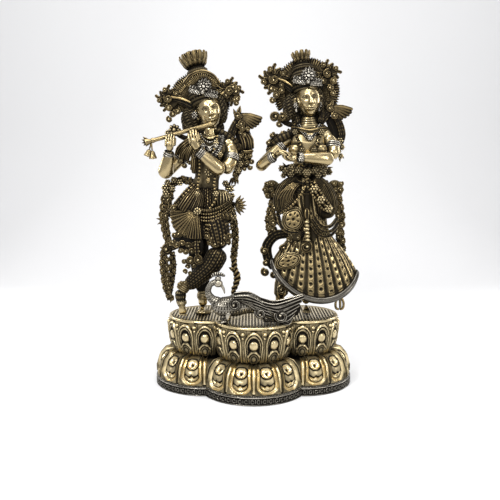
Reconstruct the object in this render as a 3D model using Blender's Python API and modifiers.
"""Radha and Krishna: two cast brass figures and a peacock on a three-lobed lotus base.

Run with: blender --background --python part.py
Units are metres, +Z is up and the viewer stands at -Y. The origin is on the floor, midway between
the two figures. The figures and the peacock are drawn in millimetres in a frame of their own, with
the origin where they stand, and are scaled to the heights below.
"""

import math

import bmesh
import bpy
from mathutils import Matrix, Vector

# Driving sizes, in metres
FIGURE_HEIGHT = 0.594
PEACOCK_LENGTH = 0.205
FLUTE_RADIUS = 0.0042
LOBE_FORWARD = 0.060
FIGURE_GAP = 0.003
FOOT_RADIUS = 0.120
FOOT_HEIGHT = 0.0205
FOOT_LEDGE = 0.009
LOWER_BELLY_RADIUS = 0.111
LOWER_SHOULDER_RADIUS = 0.097
WAIST_RADIUS = 0.068
WAIST_HEIGHT = 0.0765
UPPER_ROOT_RADIUS = 0.083
UPPER_BELLY_RADIUS = 0.0915
RIM_RADIUS = 0.0885
BASE_HEIGHT = 0.160
LOWER_PETAL_RELIEF = 0.0075
UPPER_PETAL_RELIEF = 0.0065
CLEARANCE = 0.0003

# Counts and shares of the casting
PETALS_PER_LOBE = 12
COLUMNS_PER_PETAL = 4
FIGURE_TRIANGLES = 2870
PEACOCK_TRIANGLES = 850
GRAIN_SHARE = 1 / 230
PEACOCK_GRAIN_SHARE = 1 / 110
CLOSING_SHARE = 0.6
BALL_SEGMENTS = 20
TUBE_RESOLUTION = 3
SMOOTH_STEPS = 5

# The drawings below are in millimetres, at these sizes
DRAWN_FIGURE_HEIGHT = 594.0
DRAWN_PEACOCK_LENGTH = 205.0
DRAWN_REACH = 106.3

# The figures' seats are as far apart as their elbows and scarves need
LOBE_OFFSET = DRAWN_REACH * FIGURE_HEIGHT / DRAWN_FIGURE_HEIGHT + FIGURE_GAP / 2

ANTIQUE_BRASS = (0.46, 0.37, 0.20, 1.0)
BRIGHT_BRASS = (0.62, 0.52, 0.31, 1.0)
DULL_BRASS = (0.40, 0.36, 0.27, 1.0)

# Where the flute's two ends are in Krishna's drawing
FLUTE_MOUTH = Vector((17, -40, 434))
FLUTE_END = Vector((-129, -46, 394))


def clear_scene():
    for old in list(bpy.data.objects):
        bpy.data.objects.remove(old)


def collection_named(name):
    made = bpy.data.collections.new(name)
    bpy.context.scene.collection.children.link(made)
    return made


def brass(name, colour, roughness):
    material = bpy.data.materials.new(name)
    material.use_nodes = True
    shader = material.node_tree.nodes["Principled BSDF"]
    shader.inputs["Base Color"].default_value = colour
    shader.inputs["Metallic"].default_value = 1.0
    shader.inputs["Roughness"].default_value = roughness
    material.diffuse_color = colour
    return material


# Shapes pressed into a wax, in drawing millimetres


def smooth_path(points, widths):
    """The points and widths of a smooth curve through the given ones."""
    points = [Vector(p) for p in points]
    if len(points) == 2:
        return points, list(widths)
    path = []
    sizes = []
    last = len(points) - 1
    for i in range(last):
        before, start = points[max(i - 1, 0)], points[i]
        end, after = points[i + 1], points[min(i + 2, last)]
        for step in range(SMOOTH_STEPS):
            t = step / SMOOTH_STEPS
            path.append(
                0.5 * (2 * start + (end - before) * t
                       + (2 * before - 5 * start + 4 * end - after) * t * t
                       + (3 * start - before - 3 * end + after) * t ** 3)
            )
            sizes.append(widths[i] + (widths[i + 1] - widths[i]) * t)
    return path + [points[-1]], sizes + [widths[-1]]


def ball(wax, centre, radii, lean=0.0, nod=0.0):
    """An ellipsoid; lean tips its top to the viewer's right, nod tips it towards the viewer, in degrees."""
    place = (
        Matrix.Translation(centre)
        @ Matrix.Rotation(math.radians(lean), 4, "Y")
        @ Matrix.Rotation(math.radians(nod), 4, "X")
        @ Matrix.Diagonal((*radii, 1.0))
    )
    bmesh.ops.create_uvsphere(
        wax, u_segments=BALL_SEGMENTS, v_segments=BALL_SEGMENTS // 2, radius=1.0, matrix=place
    )


def press_object(wax, helper):
    """Adds a helper object's evaluated mesh to the wax and removes the helper."""
    bpy.context.view_layer.update()
    graph = bpy.context.evaluated_depsgraph_get()
    mesh = bpy.data.meshes.new_from_object(helper.evaluated_get(graph))
    mesh.transform(helper.matrix_world)
    wax.from_mesh(mesh)
    bpy.data.meshes.remove(mesh)
    bpy.data.objects.remove(helper)


def limb(wax, points, radii):
    """A round limb or wire along a smooth curve, with its radius at each point."""
    path, sizes = smooth_path(points, radii)
    curve = bpy.data.curves.new("limb", "CURVE")
    curve.dimensions = "3D"
    curve.bevel_depth = 1.0
    curve.bevel_resolution = TUBE_RESOLUTION
    curve.use_fill_caps = True
    spline = curve.splines.new("POLY")
    spline.points.add(len(path) - 1)
    for knot, place, size in zip(spline.points, path, sizes):
        knot.co = (*place, 1.0)
        knot.radius = size
    helper = bpy.data.objects.new("limb", curve)
    bpy.context.scene.collection.objects.link(helper)
    press_object(wax, helper)


def ribbon(wax, points, widths, thickness, facing=(0, -1, 0)):
    """A flat ribbon along a smooth curve; widths are across it, and facing is the way its face looks."""
    path, sizes = smooth_path(points, widths)
    sides = 8
    rings = []
    for i, (place, width) in enumerate(zip(path, sizes)):
        along = (path[min(i + 1, len(path) - 1)] - path[max(i - 1, 0)]).normalized()
        across = along.cross(Vector(facing)).normalized()
        outward = across.cross(along)
        ring = []
        for side in range(sides):
            turn = math.tau * side / sides
            offset = across * (math.cos(turn) * width / 2) + outward * (math.sin(turn) * thickness / 2)
            ring.append(wax.verts.new(place + offset))
        rings.append(ring)
    for first, second in zip(rings, rings[1:]):
        for side in range(sides):
            after = (side + 1) % sides
            wax.faces.new((first[side], first[after], second[after], second[side]))
    wax.faces.new(reversed(rings[0]))
    wax.faces.new(rings[-1])


def turned(wax, profile, base, axis, steps=24):
    """A turned shape: profile is (radius, height) from the top down, stood on base along axis."""
    mesh = bpy.data.meshes.new("turned")
    points = [(radius, 0.0, height) for radius, height in profile]
    mesh.from_pydata(points, [(i, i + 1) for i in range(len(points) - 1)], [])
    helper = bpy.data.objects.new("turned", mesh)
    bpy.context.scene.collection.objects.link(helper)
    screw = helper.modifiers.new("Screw", "SCREW")
    screw.steps = steps
    screw.render_steps = steps
    screw.use_merge_vertices = True
    screw.merge_threshold = 0.0001
    helper.rotation_mode = "QUATERNION"
    helper.rotation_quaternion = Vector(axis).to_track_quat("Z", "Y")
    helper.location = base
    press_object(wax, helper)


def plate(wax, outline, thickness, centre, nod=0.0, yaw=0.0):
    """A flat plate that faces the viewer: outline is (x, z) points round centre."""
    curve = bpy.data.curves.new("plate", "CURVE")
    curve.dimensions = "2D"
    curve.fill_mode = "BOTH"
    curve.extrude = thickness / 2
    spline = curve.splines.new("POLY")
    spline.points.add(len(outline) - 1)
    for knot, (x, z) in zip(spline.points, outline):
        knot.co = (x, z, 0.0, 1.0)
    spline.use_cyclic_u = True
    helper = bpy.data.objects.new("plate", curve)
    bpy.context.scene.collection.objects.link(helper)
    helper.matrix_world = (
        Matrix.Translation(centre)
        @ Matrix.Rotation(math.radians(yaw), 4, "Z")
        @ Matrix.Rotation(math.radians(90 + nod), 4, "X")
    )
    press_object(wax, helper)


def scroll(wax, centre, radius, tube, start=0.0, turns=1.25, way=1):
    """A curl in the viewer's plane that winds in to a bead."""
    steps = 14
    points = []
    radii = []
    for i in range(steps + 1):
        share = i / steps
        angle = math.radians(start) + way * math.tau * turns * share
        reach = radius * (1 - 0.72 * share)
        points.append(Vector(centre) + Vector((math.cos(angle) * reach, 0, math.sin(angle) * reach)))
        radii.append(tube * (1 - 0.25 * share))
    limb(wax, points[::2], radii[::2])
    ball(wax, points[-1], (tube * 1.35,) * 3)


def leaf(wax, root, angle, length, width, thickness=6.0, bend=0.0):
    """A leaf blade in the viewer's plane that points at angle, in degrees, and bends along its length."""
    root = Vector(root)
    points = [root]
    for step in (0.35, 0.7, 1.0):
        turn = math.radians(angle + bend * step)
        points.append(root + Vector((math.cos(turn), 0, math.sin(turn))) * length * step)
    ribbon(wax, points, [width * 0.6, width, width * 0.85, width * 0.35], thickness)


def leaf_tuft(wax, root, angle, length, spread, count=5):
    """A tassel of leaves that fan out from root."""
    for i in range(count):
        share = i / (count - 1) - 0.5
        reach = length * (1 - 0.5 * abs(share))
        leaf(wax, root, angle + spread * share, reach, length * 0.3, 7.0, bend=30 * share)


def ray_halo(wax, centre, radius, rays, lean):
    """The spiked glory behind a head, open below for the neck."""
    outline = []
    opening = 50.0
    span = 360.0 - 2 * opening
    for i in range(2 * rays + 1):
        angle = math.radians(-90 + lean + opening + span * i / (2 * rays))
        reach = radius * (1.0 if i % 2 else 0.9)
        outline.append((math.cos(angle) * reach, math.sin(angle) * reach))
    outline.append((0.0, -radius * 0.3))
    plate(wax, outline, 9.0, centre, nod=-6)


def garland(wax, points, bead):
    """A heavy string of flowers, cast as a rounded cord."""
    limb(wax, points, [bead] * len(points))


def bangle(wax, centre, axis, radius, height):
    """A ring of ornament round a limb."""
    half = height / 2
    profile = [(0, half), (radius, half), (radius + 1.5, 0), (radius, -half), (0, -half)]
    turned(wax, profile, centre, axis, steps=12)


def hand(wax, palm, toward, curl, size=1.0):
    """A palm with four fingers that leave it toward one point and curl along another way."""
    palm = Vector(palm)
    toward = Vector(toward).normalized()
    curl = Vector(curl).normalized()
    across = toward.cross(curl).normalized()
    ball(wax, palm, (10 * size, 8 * size, 11 * size))
    for i in range(4):
        root = palm + across * ((i - 1.5) * 5.2 * size) + toward * 5 * size
        knuckle = root + toward * 10 * size + curl * 2 * size
        tip = knuckle + toward * 3 * size + curl * 9 * size
        limb(wax, [root, knuckle, tip], [3.8 * size, 3.6 * size, 3.2 * size])


# Krishna, in drawing millimetres


def krishna_body(wax):
    ball(wax, (8, -1, 376), (45, 24, 30), lean=-5)
    ball(wax, (5, -2, 345), (34, 23, 36))
    ball(wax, (1, -2, 306), (29, 21, 28))
    ball(wax, (-6, 0, 262), (42, 30, 36))
    limb(wax, [(12, 4, 388), (9, 0, 425)], [14, 13])
    ball(wax, (7, -3, 461), (26, 30, 37), lean=-13)
    ball(wax, (13, -30, 450), (4, 5, 9), lean=-13)
    ball(wax, (3, 16, 470), (33, 20, 38), lean=-14)


def krishna_arms(wax):
    limb(wax, [(-32, 4, 386), (-64, 2, 350), (-91, -8, 324)], [17, 14, 14])
    limb(wax, [(-91, -8, 324), (-88, -26, 340), (-76, -42, 372)], [14, 14, 9])
    hand(wax, (-72, -42, 383), (-0.2, -0.3, 1), (0.3, -1, 0.1))
    bangle(wax, (-79, -38, 364), (0.3, -0.4, 0.9), 11, 12)
    limb(wax, [(50, 2, 392), (58, -8, 362), (45, -32, 332)], [17, 15, 14])
    limb(wax, [(45, -32, 332), (18, -46, 350), (-12, -52, 371)], [14, 13, 9])
    hand(wax, (-22, -50, 391), (-0.15, -0.1, 1), (0.1, -1, 0))
    bangle(wax, (-6, -51, 366), (-0.7, -0.15, 0.6), 11, 14)
    bangle(wax, (57, -12, 357), (0.1, 0.5, 1), 16, 13)


def krishna_legs(wax):
    limb(wax, [(4, -8, 250), (26, -34, 190), (32, -42, 150)], [34, 29, 23])
    limb(wax, [(32, -42, 150), (2, -46, 108), (-42, -44, 72)], [24, 22, 17])
    limb(wax, [(-42, -44, 74), (-54, -42, 58)], [16, 14])
    limb(wax, [(-55, -42, 58), (-56, -42, 30), (-54, -44, 2)], [11, 9, 8])
    limb(wax, [(-16, 4, 240), (-20, 4, 140), (-10, 0, 60), (-10, 0, 8)], [32, 22, 16, 10])
    ball(wax, (-10, -10, 10), (11, 22, 8))
    turned(wax, [(0, 8), (16, 8), (18, 0), (18, -3), (0, -3)], (-9, -8, 0), (0, 0, 1), steps=16)


def krishna_dress(wax):
    """The flared skirt with its curled hem, pleated front panel and waist garlands."""
    skirt = [(0, 276), (30, 276), (44, 250), (56, 214), (62, 176), (58, 164), (0, 172)]
    turned(wax, skirt, (-6, 0, 0), (0.05, -0.02, 1), steps=20)
    for x, y, z, size in (
        (-72, -26, 168, 12), (-56, -40, 158, 13), (-38, -48, 148, 13), (-22, -52, 138, 13),
        (-34, -50, 126, 12), (12, -50, 176, 13), (30, -44, 182, 13), (48, -32, 180, 12),
        (58, -14, 168, 11), (-62, 10, 158, 13), (-40, 34, 160, 13), (-10, 46, 164, 13),
        (22, 44, 168, 13), (46, 26, 170, 13),
    ):
        ball(wax, (x, y, z), (size, size, size))
    ribbon(wax, [(-18, -30, 240), (-19, -40, 210), (-22, -50, 182)], [10, 22, 34], 9)
    limb(wax, [(-19, -46, 190), (-17, -52, 160), (-19, -54, 140)], [5, 6, 8])
    garland(wax, [(-34, -22, 286), (-22, -34, 250), (2, -38, 236), (34, -34, 246), (58, -16, 262)], 8)
    garland(wax, [(-4, -24, 400), (0, -30, 350), (-8, -32, 300), (-4, -34, 258)], 7)
    garland(wax, [(30, -24, 396), (26, -28, 345), (20, -30, 290), (8, -36, 244)], 7)


def krishna_crown(wax):
    base = (-3, -2, 486)
    axis = (-0.26, 0.04, 1.0)
    profile = [
        (0, 99), (24, 106), (30, 112), (21, 90), (12, 78), (15, 74), (10, 70), (21, 66), (23, 60),
        (17, 54), (20, 48), (29, 42), (31, 34), (27, 24), (31, 12), (31, 0), (26, -14), (0, -16),
    ]
    turned(wax, profile, base, axis)
    ball(wax, (4, -32, 508), (13, 6, 18), lean=-12)


def krishna_halo(wax):
    ray_halo(wax, (-8, 22, 484), 77, 26, lean=-13)


def krishna_finials(wax):
    """The crown's ribbons, which fly out to leaf tassels with curls below them."""
    ribbon(wax, [(-26, 0, 478), (-52, 4, 482), (-82, 6, 486)], [16, 13, 13], 7)
    leaf_tuft(wax, (-84, 6, 486), 142, 34, 100)
    scroll(wax, (-80, 6, 470), 12, 5, start=90)
    scroll(wax, (-78, 6, 450), 12, 5, start=100, way=-1)
    ribbon(wax, [(-76, 8, 470), (-62, 14, 462), (-44, 18, 456)], [12, 12, 12], 8)
    ribbon(wax, [(34, 6, 486), (52, 6, 500), (60, 6, 512)], [18, 15, 12], 8)
    leaf_tuft(wax, (54, 6, 504), 56, 36, 110)
    scroll(wax, (72, 6, 500), 13, 5, start=120, way=-1)
    scroll(wax, (66, 6, 482), 11, 5, start=80, way=-1)
    ribbon(wax, [(66, 8, 492), (50, 14, 478), (38, 16, 466)], [12, 14, 16], 9)


def krishna_scarves(wax):
    """The shoulder wing, the hanging shawl ends and the side scarves with their scrolls."""
    ribbon(wax, [(48, 4, 404), (62, 8, 430), (70, 9, 452)], [22, 18, 14], 9)
    for i in range(5):
        leaf(wax, (70, 9, 446), 12 - 14 * i, 56 - 5 * i, 15, 7, bend=-10)
    leaf(wax, (70, 8, 446), 70, 24, 12)
    ribbon(wax, [(74, 10, 442), (90, 12, 420), (97, 12, 385), (95, 11, 345)], [16, 22, 22, 16], 9)
    leaf_tuft(wax, (94, 10, 350), -88, 24, 70, count=3)
    ribbon(wax, [(60, 6, 392), (74, 10, 370), (78, 10, 340), (66, 4, 312)], [18, 24, 20, 16], 9)
    leaf_tuft(wax, (66, 3, 316), -100, 24, 60, count=3)
    ribbon(wax, [(74, 10, 375), (88, 11, 372)], [14, 14], 8)
    ribbon(wax, [(-34, 8, 398), (-56, 9, 404), (-74, 8, 420)], [16, 14, 12], 9)
    ball(wax, (-75, 6, 423), (11, 7, 10))
    ribbon(wax, [(-34, 12, 392), (-58, 14, 376), (-70, 12, 350)], [24, 28, 24], 9)
    ribbon(wax, [(-28, 6, 300), (-58, 8, 306), (-88, 6, 290)], [20, 18, 14], 9)
    leaf_tuft(wax, (-74, 6, 296), 200, 30, 120)
    ribbon(wax, [(-84, 6, 292), (-92, 5, 262), (-98, 3, 228)], [22, 26, 22], 10)
    ball(wax, (-104, 0, 221), (11, 8, 10))
    leaf_tuft(wax, (-96, 0, 210), 214, 24, 80, count=3)
    ribbon(wax, [(-98, 3, 224), (-94, 2, 190), (-86, 0, 156)], [20, 18, 16], 10)
    ribbon(wax, [(-90, 2, 236), (-60, -2, 214), (-44, -4, 196)], [16, 16, 16], 10)
    scroll(wax, (-90, 0, 148), 17, 6, start=60)
    ribbon(wax, [(-100, 0, 150), (-98, 0, 110), (-94, 0, 60), (-86, 0, 26)], [14, 22, 18, 14], 9)
    ribbon(wax, [(-78, 0, 144), (-80, 0, 110), (-84, 0, 70), (-88, 0, 40)], [14, 16, 14, 10], 9)
    ball(wax, (-85, 0, 28), (9, 7, 11))
    ribbon(wax, [(-84, -4, 150), (-66, -14, 156), (-50, -20, 164)], [16, 16, 16], 10)
    ribbon(wax, [(36, 0, 262), (56, -8, 256), (70, -14, 252)], [16, 13, 10], 9)
    leaf_tuft(wax, (64, -14, 252), 0, 27, 130)
    leaf_tuft(wax, (50, 4, 284), 40, 26, 90)
    ribbon(wax, [(44, 2, 262), (58, 4, 226), (66, 5, 180), (62, 5, 130)], [24, 20, 16, 16], 10)
    ribbon(wax, [(62, 5, 135), (64, 5, 104), (70, 4, 80), (62, 4, 50)], [16, 16, 18, 12], 10)
    leaf(wax, (64, 5, 96), 150, 18, 12)
    ribbon(wax, [(62, 5, 64), (60, 5, 36), (58, 4, -2)], [13, 11, 9], 9)


def krishna_wax():
    wax = bmesh.new()
    krishna_body(wax)
    krishna_arms(wax)
    krishna_legs(wax)
    krishna_dress(wax)
    krishna_crown(wax)
    krishna_halo(wax)
    krishna_finials(wax)
    krishna_scarves(wax)
    return wax


# Radha, in drawing millimetres


def radha_body(wax):
    ball(wax, (15, -1, 398), (44, 23, 28))
    ball(wax, (11, -2, 366), (31, 21, 30))
    ball(wax, (-8, -20, 380), (18, 14, 17))
    ball(wax, (37, -20, 380), (18, 14, 17))
    ball(wax, (7, 0, 330), (24, 18, 26))
    ball(wax, (10, 2, 286), (44, 30, 38))
    limb(wax, [(17, 4, 418), (16, 0, 452)], [14, 12])
    ball(wax, (14, -3, 484), (25, 29, 36), lean=-7)
    ball(wax, (16, -30, 478), (4, 5, 8))
    ball(wax, (12, 16, 492), (33, 20, 38), lean=-6)


def radha_arms(wax):
    limb(wax, [(-22, 3, 408), (-56, -2, 372), (-92, -18, 339)], [16, 14, 14])
    limb(wax, [(-92, -18, 339), (-78, -40, 350), (-58, -54, 363)], [14, 13, 10])
    limb(wax, [(58, 2, 410), (70, -6, 384), (66, -22, 358)], [16, 15, 14])
    limb(wax, [(66, -22, 358), (32, -42, 357), (-6, -54, 358)], [14, 13, 9])
    hand(wax, (-46, -56, 366), (1, -0.1, -0.15), (0.2, -0.3, -1))
    hand(wax, (-20, -56, 358), (-1, -0.1, -0.1), (-0.2, -0.6, 0.7))
    bangle(wax, (0, -53, 358), (1, 0.3, 0), 11, 16)
    bangle(wax, (69, -4, 388), (0.1, 0.2, 1), 16, 14)


def radha_skirt_profile(turn):
    """The skirt's outline at one angle round her, from waist to hem: its hem is lifted at both sides."""
    side = math.cos(turn)
    front = -math.sin(turn)
    hem_x = 33 + 99 * side
    hem_y = -8 - 46 * front
    hem_z = 112 - 12 * side - 72 * abs(front) ** 1.3
    waist = Vector((8 + 24 * side, -18 * front, 326))
    hip = Vector((10 + 46 * side, -30 * front, 268))
    knee = Vector((22 + 42 * side, -4 - 36 * front, 196))
    low = Vector((30 + 74 * side, -7 - 42 * front, 0.45 * 196 + 0.55 * hem_z))
    return [waist, hip, knee, low, Vector((hem_x, hem_y, hem_z))]


def radha_skirt(wax):
    """A full skirt swung out in the dance."""
    steps = 28
    columns = []
    for i in range(steps):
        path, _ = smooth_path(radha_skirt_profile(math.tau * i / steps), [0] * 5)
        columns.append([wax.verts.new(p) for p in path])
    for first, second in zip(columns, columns[1:] + columns[:1]):
        for row in range(len(first) - 1):
            wax.faces.new((first[row], first[row + 1], second[row + 1], second[row]))
    hollow = wax.verts.new((24, -6, 150))
    for first, second in zip(columns, columns[1:] + columns[:1]):
        wax.faces.new((first[-1], hollow, second[-1]))
    wax.faces.new([column[0] for column in columns])
    hem = [Vector(radha_skirt_profile(math.tau * i / 20)[-1]) for i in range(21)]
    limb(wax, hem, [5.5] * 21)


def radha_drapes(wax):
    """The looped sashes on her hips, the belt and the long garland and tassel."""
    for way, x, z in ((-1, -22, 262), (1, 42, 262)):
        ball(wax, (x, -14, z), (30, 24, 36), lean=way * 18)
        ball(wax, (x - way * 6, -18, z - 42), (24, 22, 28), lean=way * 10)
    limb(wax, [(12, -36, 262), (11, -42, 220), (11, -46, 186)], [6, 6, 7])
    garland(wax, [(-12, -20, 418), (-10, -34, 385), (0, -40, 352), (6, -30, 320), (10, -34, 270)], 7)
    garland(wax, [(46, -18, 414), (40, -34, 385), (26, -40, 352), (12, -30, 320)], 7)
    garland(wax, [(18, -34, 296), (44, -36, 262), (70, -22, 226)], 8)
    garland(wax, [(-26, -18, 338), (10, -26, 330), (44, -16, 336)], 8)
    leaf_tuft(wax, (-20, -8, 338), 190, 24, 90)
    leaf_tuft(wax, (38, -8, 336), -10, 34, 80)


def radha_legs(wax):
    limb(wax, [(-2, 6, 200), (-34, 2, 110), (-46, -2, 60), (-46, -4, 4)], [28, 20, 15, 12])
    ball(wax, (-47, -14, 8), (12, 24, 9))
    limb(wax, [(16, 6, 200), (16, 2, 100), (15, -2, 2)], [28, 18, 12])
    ball(wax, (15, -12, 8), (12, 22, 9))
    turned(wax, [(0, 20), (12, 20), (19, 4), (19, -3), (0, -3)], (15, -8, 0), (0, 0, 1), steps=16)


def radha_crown(wax):
    base = (8, -2, 512)
    axis = (-0.14, 0.03, 1.0)
    profile = [
        (0, 72), (16, 79), (20, 82), (14, 66), (9, 60), (12, 57), (11, 54), (20, 50), (23, 42),
        (18, 36), (26, 28), (30, 18), (31, 2), (27, -12), (0, -14),
    ]
    turned(wax, profile, base, axis)
    ball(wax, (11, -31, 530), (13, 6, 18), lean=-6)


def radha_halo(wax):
    ray_halo(wax, (12, 22, 507), 77, 26, lean=-6)


def radha_finials(wax):
    ribbon(wax, [(-18, 0, 508), (-40, 4, 520), (-62, 6, 530)], [16, 13, 13], 7)
    leaf_tuft(wax, (-62, 6, 528), 140, 42, 90)
    scroll(wax, (-64, 6, 512), 13, 5, start=90)
    scroll(wax, (-58, 6, 490), 13, 5, start=100, way=-1)
    ribbon(wax, [(-58, 8, 506), (-42, 14, 500), (-26, 18, 494)], [12, 12, 12], 8)
    ribbon(wax, [(42, 8, 512), (54, 7, 530), (58, 6, 546)], [18, 15, 12], 8)
    leaf_tuft(wax, (58, 6, 544), 62, 38, 110)
    scroll(wax, (70, 6, 528), 12, 5, start=120, way=-1)
    scroll(wax, (70, 8, 506), 10, 5, start=80, way=-1)
    ribbon(wax, [(62, 8, 520), (54, 14, 508), (46, 16, 498)], [12, 12, 12], 8)


def radha_scarves(wax):
    ribbon(wax, [(40, 8, 440), (56, 8, 452), (68, 9, 466)], [30, 20, 14], 9)
    for i in range(4):
        leaf(wax, (68, 9, 460), 8 - 16 * i, 46 - 4 * i, 14, 7, bend=-8)
    leaf(wax, (66, 8, 460), 66, 18, 10)
    ribbon(wax, [(70, 10, 456), (86, 12, 430), (92, 12, 396), (86, 8, 366)], [16, 22, 20, 14], 9)
    leaf_tuft(wax, (88, 8, 376), -84, 24, 60, count=3)
    ribbon(wax, [(60, 4, 420), (74, 10, 420), (88, 12, 420)], [24, 20, 18], 8)
    ribbon(wax, [(14, 14, 430), (-20, 12, 432), (-46, 6, 446)], [20, 18, 12], 9)
    scroll(wax, (-60, 5, 450), 14, 6, start=-60)
    ribbon(wax, [(-10, 6, 428), (-40, 4, 412), (-64, 4, 396), (-68, 2, 372)], [22, 26, 24, 20], 10)
    ball(wax, (-72, 4, 409), (9, 7, 8))
    ball(wax, (-76, 4, 388), (9, 7, 8))
    for way, x in ((-1, -70), (1, 84)):
        scroll(wax, (x, 2, 288), 15, 6, start=90 - way * 90, way=way)
        leaf_tuft(wax, (x - way * 8, 2, 284), 90 - way * 70, 26, 80, count=3)
        ribbon(wax, [(x - way * 42, 4, 296), (x - way * 20, 4, 288), (x, 2, 276)], [16, 16, 16], 10)
    ribbon(wax, [(-56, 4, 284), (-64, 2, 250), (-70, 0, 214), (-62, 0, 184)], [18, 20, 22, 24], 10)
    ribbon(wax, [(-62, 0, 220), (-44, -2, 206), (-28, -6, 196)], [14, 14, 14], 9)
    scroll(wax, (-58, 0, 150), 32, 9, start=80, turns=0.8)
    ribbon(wax, [(-48, -4, 184), (-20, -14, 182), (6, -34, 168)], [16, 16, 16], 10)
    scroll(wax, (8, -46, 162), 16, 6, start=120, way=-1)
    ribbon(wax, [(-80, 0, 168), (-76, 0, 132), (-70, 0, 100), (-52, -2, 78)], [20, 22, 24, 20], 10)
    for z in (142, 116, 92):
        ball(wax, (-80, 0, z), (9, 8, 9))
    ribbon(wax, [(82, 4, 284), (88, 4, 250), (92, 4, 214), (86, 2, 190)], [18, 20, 22, 20], 10)
    ribbon(wax, [(70, 0, 212), (80, 2, 206), (90, 3, 204)], [20, 16, 14], 9)
    ribbon(wax, [(88, 4, 206), (94, 6, 170), (97, 8, 140), (90, 10, 100)], [20, 20, 18, 16], 10)
    ribbon(wax, [(84, 10, 112), (88, 12, 76), (94, 12, 40)], [16, 16, 18], 9)
    scroll(wax, (96, 10, 24), 13, 6, start=90, way=-1, turns=1.0)
    scroll(wax, (98, 10, 10), 11, 5, start=90, way=1, turns=1.0)
    ribbon(wax, [(96, 10, 36), (90, 10, 18), (98, 10, -3)], [14, 12, 14], 8)


def radha_wax():
    wax = bmesh.new()
    radha_body(wax)
    radha_arms(wax)
    radha_skirt(wax)
    radha_drapes(wax)
    radha_legs(wax)
    radha_crown(wax)
    radha_halo(wax)
    radha_finials(wax)
    radha_scarves(wax)
    return wax


# The peacock, in drawing millimetres, stood midway between the figures


def peacock_wax():
    wax = bmesh.new()
    limb(wax, [(-80, 0, 42), (-96, 0, 58), (-92, 0, 80), (-80, 0, 86), (-73, 0, 80)], [15, 10, 8, 8, 8])
    limb(wax, [(-74, 0, 80), (-68, 0, 72), (-64, 0, 62)], [6, 4, 3])
    plate(wax, [(-8, 0), (8, 0), (14, 12), (-14, 12)], 6, (-77, 0, 86))
    ball(wax, (-76, 0, 36), (24, 19, 20), lean=-20)
    ball(wax, (-50, 0, 38), (38, 22, 21), lean=8)
    ball(wax, (-28, -10, 42), (34, 16, 16), lean=12)
    ball(wax, (-28, 10, 42), (34, 16, 16), lean=12)
    ribbon(wax, [(-30, 0, 40), (10, 2, 32), (50, 4, 24), (86, 4, 24)], [36, 42, 46, 34], 30, (0, 0, 1))
    for way in (-1, 0, 1):
        ribbon(
            wax, [(30, 8 * way, 22), (66, 13 * way, 20), (94, 14 * way, 38), (108, 12 * way, 56)],
            [20, 20, 16, 8], 10, (0.5, 0, 1)
        )
    for y in (-11, 11):
        limb(wax, [(-54, y, 26), (-55, y, 10), (-56, y, -2)], [8, 5, 5])
        ball(wax, (-59, y - 2, 2), (11, 7, 5))
    ball(wax, (40, 0, 8), (34, 14, 12))
    return wax


# Casting: wax to one closed, trimmed body


def mesh_object(name, mesh, collection, material):
    made = bpy.data.objects.new(name, mesh)
    collection.objects.link(made)
    mesh.materials.clear()
    mesh.materials.append(material)
    return made


def cast(name, wax, place, grain, triangles, collection, material):
    """Fuses a wax into one closed body of about the given number of triangles."""
    bmesh.ops.transform(wax, matrix=place, verts=wax.verts)
    bmesh.ops.recalc_face_normals(wax, faces=wax.faces)
    mesh = bpy.data.meshes.new(name)
    wax.to_mesh(mesh)
    wax.free()
    body = mesh_object(name, mesh, collection, material)
    for swell in (grain * CLOSING_SHARE, -grain * CLOSING_SHARE):
        fuse = body.modifiers.new("Remesh", "REMESH")
        fuse.mode = "VOXEL"
        fuse.voxel_size = grain
        close = body.modifiers.new("Close", "DISPLACE")
        close.mid_level = 0.0
        close.strength = swell
    bpy.context.view_layer.update()
    dense = body.evaluated_get(bpy.context.evaluated_depsgraph_get())
    dense.data.calc_loop_triangles()
    thin = body.modifiers.new("Decimate", "DECIMATE")
    thin.ratio = min(1.0, triangles / len(dense.data.loop_triangles))
    return body


def apply_modifiers(body):
    graph = bpy.context.evaluated_depsgraph_get()
    bpy.context.view_layer.update()
    settled = bpy.data.meshes.new_from_object(body.evaluated_get(graph))
    body.modifiers.clear()
    body.data = settled


def keep_largest_shell(body):
    """Drops the flakes that thinning leaves, which are no part of the casting."""
    shape = bmesh.new()
    shape.from_mesh(body.data)
    unseen = set(shape.verts)
    shells = []
    while unseen:
        front = [unseen.pop()]
        shell = list(front)
        while front:
            for edge in front.pop().link_edges:
                for vert in edge.verts:
                    if vert in unseen:
                        unseen.remove(vert)
                        front.append(vert)
                        shell.append(vert)
        shells.append(shell)
    shells.sort(key=len)
    for shell in shells[:-1]:
        bmesh.ops.delete(shape, geom=shell, context="VERTS")
    shape.to_mesh(body.data)
    shape.free()


def cut(body, cutter):
    trim = body.modifiers.new("Cut_" + cutter.name, "BOOLEAN")
    trim.operation = "DIFFERENCE"
    trim.object = cutter


def hide_cutter(cutter):
    cutter.hide_render = True
    cutter.display_type = "WIRE"


def floor_cutter(cutters):
    """A block whose top is the plane that the castings stand on."""
    side = 2.0
    bpy.ops.mesh.primitive_cube_add(size=side, location=(0, 0, BASE_HEIGHT + CLEARANCE - side / 2))
    block = bpy.context.object
    block.name = "standing_plane"
    move_to(block, cutters)
    hide_cutter(block)
    return block


def move_to(item, collection):
    for old in list(item.users_collection):
        old.objects.unlink(item)
    collection.objects.link(item)


# The flute


def flute_points(place):
    return place @ FLUTE_MOUTH, place @ FLUTE_END


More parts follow.
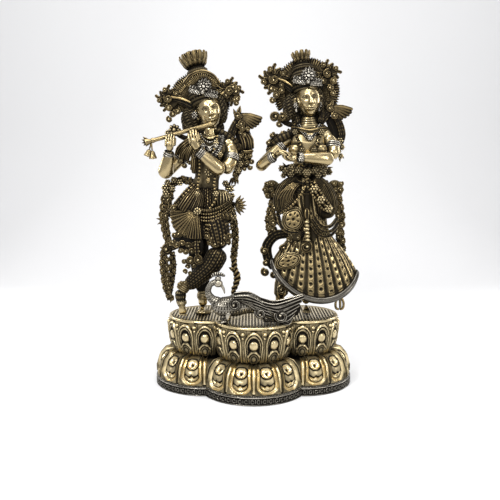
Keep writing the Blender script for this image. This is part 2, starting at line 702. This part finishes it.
def round_bar(name, start, end, radius, collection, segments):
    length = (end - start).length
    bpy.ops.mesh.primitive_cylinder_add(vertices=segments, radius=radius, depth=length)
    bar = bpy.context.object
    bar.name = name
    bar.data.name = name
    bar.rotation_mode = "QUATERNION"
    bar.rotation_quaternion = (end - start).to_track_quat("Z", "Y")
    bar.location = (start + end) / 2
    move_to(bar, collection)
    return bar


def build_flute(place, collection, material):
    """A flute with a flared lotus end, a bell below it and binding rings."""
    scale = place.to_scale().x
    start, end = flute_points(place)
    along = (end - start).normalized()
    length = (end - start).length
    wax = bmesh.new()
    flare = FLUTE_RADIUS * 2.2
    profile = [
        (0, length), (flare, length), (flare * 0.9, length - 0.004), (FLUTE_RADIUS * 1.1, length - 0.012),
        (FLUTE_RADIUS * 1.5, length - 0.016), (FLUTE_RADIUS, length - 0.020), (FLUTE_RADIUS, 0.010),
        (FLUTE_RADIUS * 1.35, 0.008), (FLUTE_RADIUS * 1.35, 0.0), (0, 0),
    ]
    turned(wax, profile, start, along, steps=10)
    mesh = bpy.data.meshes.new("flute")
    wax.to_mesh(mesh)
    wax.free()
    flute = mesh_object("flute", mesh, collection, material)
    mesh.shade_smooth()
    for index, lean in enumerate((0.10, -0.22)):
        bell = bmesh.new()
        top = end - along * 0.012 + Vector((0, 0, -FLUTE_RADIUS * 0.5))
        hang = Vector((-lean, 0, 1)).normalized()
        drop = 38 * scale
        turned(
            bell,
            [(0, 0.0), (0.0022, 0.0), (0.0022, -drop * 0.45), (0.0052, -drop * 0.6),
             (0.0092, -drop * 0.97), (0.0085, -drop), (0, -drop)],
            top, hang, steps=8
        )
        bell_mesh = bpy.data.meshes.new(f"flute_bell_{index}")
        bell.to_mesh(bell_mesh)
        bell.free()
        hanging = bpy.data.objects.new(f"flute_bell_{index}", bell_mesh)
        bpy.data.collections["cutters"].objects.link(hanging)
        hide_cutter(hanging)
        join = flute.modifiers.new(f"Bell_{index}", "BOOLEAN")
        join.operation = "UNION"
        join.object = hanging
    return flute


# The lotus base


def petal_relief(angle, height):
    """How far the petals stand out of the turned lobe at one place: round petals with sharp valleys."""
    pitch = math.tau / PETALS_PER_LOBE
    if height < WAIST_HEIGHT:
        share = (WAIST_HEIGHT - height) / (WAIST_HEIGHT - FOOT_HEIGHT)
        phase, depth = 0.5, LOWER_PETAL_RELIEF
    else:
        share = (height - WAIST_HEIGHT) / (BASE_HEIGHT - WAIST_HEIGHT)
        phase, depth = 0.0, UPPER_PETAL_RELIEF
    if not 0.0 < share < 0.94:
        return 0.0
    offset = (angle / pitch + phase) % 1.0
    across = math.sqrt(max(0.0, 1.0 - (2 * offset - 1) ** 2))
    return depth * math.sin(math.pi * (0.1 + 0.75 * share)) * (across - 0.4)


def build_lobe(name, centre, collection):
    """One round lotus: a turned core whose surface swells into petals."""
    ledge = FOOT_RADIUS - FOOT_LEDGE
    height = BASE_HEIGHT
    rise = WAIST_HEIGHT - FOOT_HEIGHT
    top = BASE_HEIGHT - WAIST_HEIGHT
    lower_flank = 0.3 * LOWER_SHOULDER_RADIUS + 0.7 * LOWER_BELLY_RADIUS
    profile = [
        (0, height), (RIM_RADIUS - 0.002, height), (RIM_RADIUS, height - 0.004),
        (UPPER_BELLY_RADIUS, height - 0.35 * top), (UPPER_BELLY_RADIUS - 0.003, height - 0.66 * top),
        (UPPER_ROOT_RADIUS, height - 0.87 * top),
        (WAIST_RADIUS, WAIST_HEIGHT + 0.03 * top), (WAIST_RADIUS + 0.012, WAIST_HEIGHT),
        (LOWER_SHOULDER_RADIUS, WAIST_HEIGHT - 0.07 * rise), (lower_flank, WAIST_HEIGHT - 0.26 * rise),
        (LOWER_BELLY_RADIUS, WAIST_HEIGHT - 0.58 * rise), (LOWER_BELLY_RADIUS, WAIST_HEIGHT - 0.83 * rise),
        (ledge - 0.006, FOOT_HEIGHT), (FOOT_RADIUS, FOOT_HEIGHT), (FOOT_RADIUS, 0.0), (0, 0),
    ]
    shape = bmesh.new()
    turned(shape, profile, (0, 0, 0), (0, 0, 1), steps=PETALS_PER_LOBE * COLUMNS_PER_PETAL)
    for vert in shape.verts:
        reach = vert.co.xy.length
        if reach < WAIST_RADIUS / 2:
            continue
        angle = math.atan2(vert.co.y, vert.co.x) - math.pi / 2
        stretched = 1 + petal_relief(angle, vert.co.z) / reach
        vert.co.x *= stretched
        vert.co.y *= stretched
    mesh = bpy.data.meshes.new(name)
    shape.to_mesh(mesh)
    shape.free()
    lobe = bpy.data.objects.new(name, mesh)
    lobe.location = centre
    collection.objects.link(lobe)
    return lobe


def build_base(collection, cutters, material):
    lobe = build_lobe("lotus_base", (0, -LOBE_FORWARD, 0), collection)
    lobe.data.materials.append(material)
    for side in (-1, 1):
        other = build_lobe(f"side_lobe_{side}", (side * LOBE_OFFSET, 0, 0), cutters)
        hide_cutter(other)
        join = lobe.modifiers.new(f"Lobe_{side}", "BOOLEAN")
        join.operation = "UNION"
        join.object = other
    return lobe


def main():
    clear_scene()
    statue = collection_named("radha_krishna_statue")
    cutters = collection_named("cutters")
    antique = brass("antique_brass", ANTIQUE_BRASS, 0.38)
    bright = brass("polished_brass", BRIGHT_BRASS, 0.28)
    dull = brass("dull_brass", DULL_BRASS, 0.42)

    build_base(statue, cutters, bright)
    plane = floor_cutter(cutters)

    scale = FIGURE_HEIGHT / DRAWN_FIGURE_HEIGHT
    grain = FIGURE_HEIGHT * GRAIN_SHARE
    krishna_place = Matrix.Translation((-LOBE_OFFSET, 0, BASE_HEIGHT)) @ Matrix.Scale(scale, 4)
    radha_place = Matrix.Translation((LOBE_OFFSET, 0, BASE_HEIGHT)) @ Matrix.Scale(scale, 4)
    krishna = cast("krishna", krishna_wax(), krishna_place, grain, FIGURE_TRIANGLES, statue, antique)
    radha = cast("radha", radha_wax(), radha_place, grain, FIGURE_TRIANGLES, statue, antique)

    peacock_scale = PEACOCK_LENGTH / DRAWN_PEACOCK_LENGTH
    perch = Matrix.Translation((0, -LOBE_FORWARD - 0.034, BASE_HEIGHT)) @ Matrix.Scale(peacock_scale, 4)
    peacock = cast(
        "peacock", peacock_wax(), perch, PEACOCK_LENGTH * PEACOCK_GRAIN_SHARE,
        PEACOCK_TRIANGLES, statue, dull
    )

    for body in (krishna, radha, peacock):
        apply_modifiers(body)
        keep_largest_shell(body)
        cut(body, plane)

    start, end = flute_points(krishna_place)
    groove = round_bar(
        "flute_groove", start - (end - start) * 0.1, end + (end - start) * 0.1,
        FLUTE_RADIUS + CLEARANCE, cutters, 16
    )
    hide_cutter(groove)
    cut(krishna, groove)
    build_flute(krishna_place, statue, bright)


main()
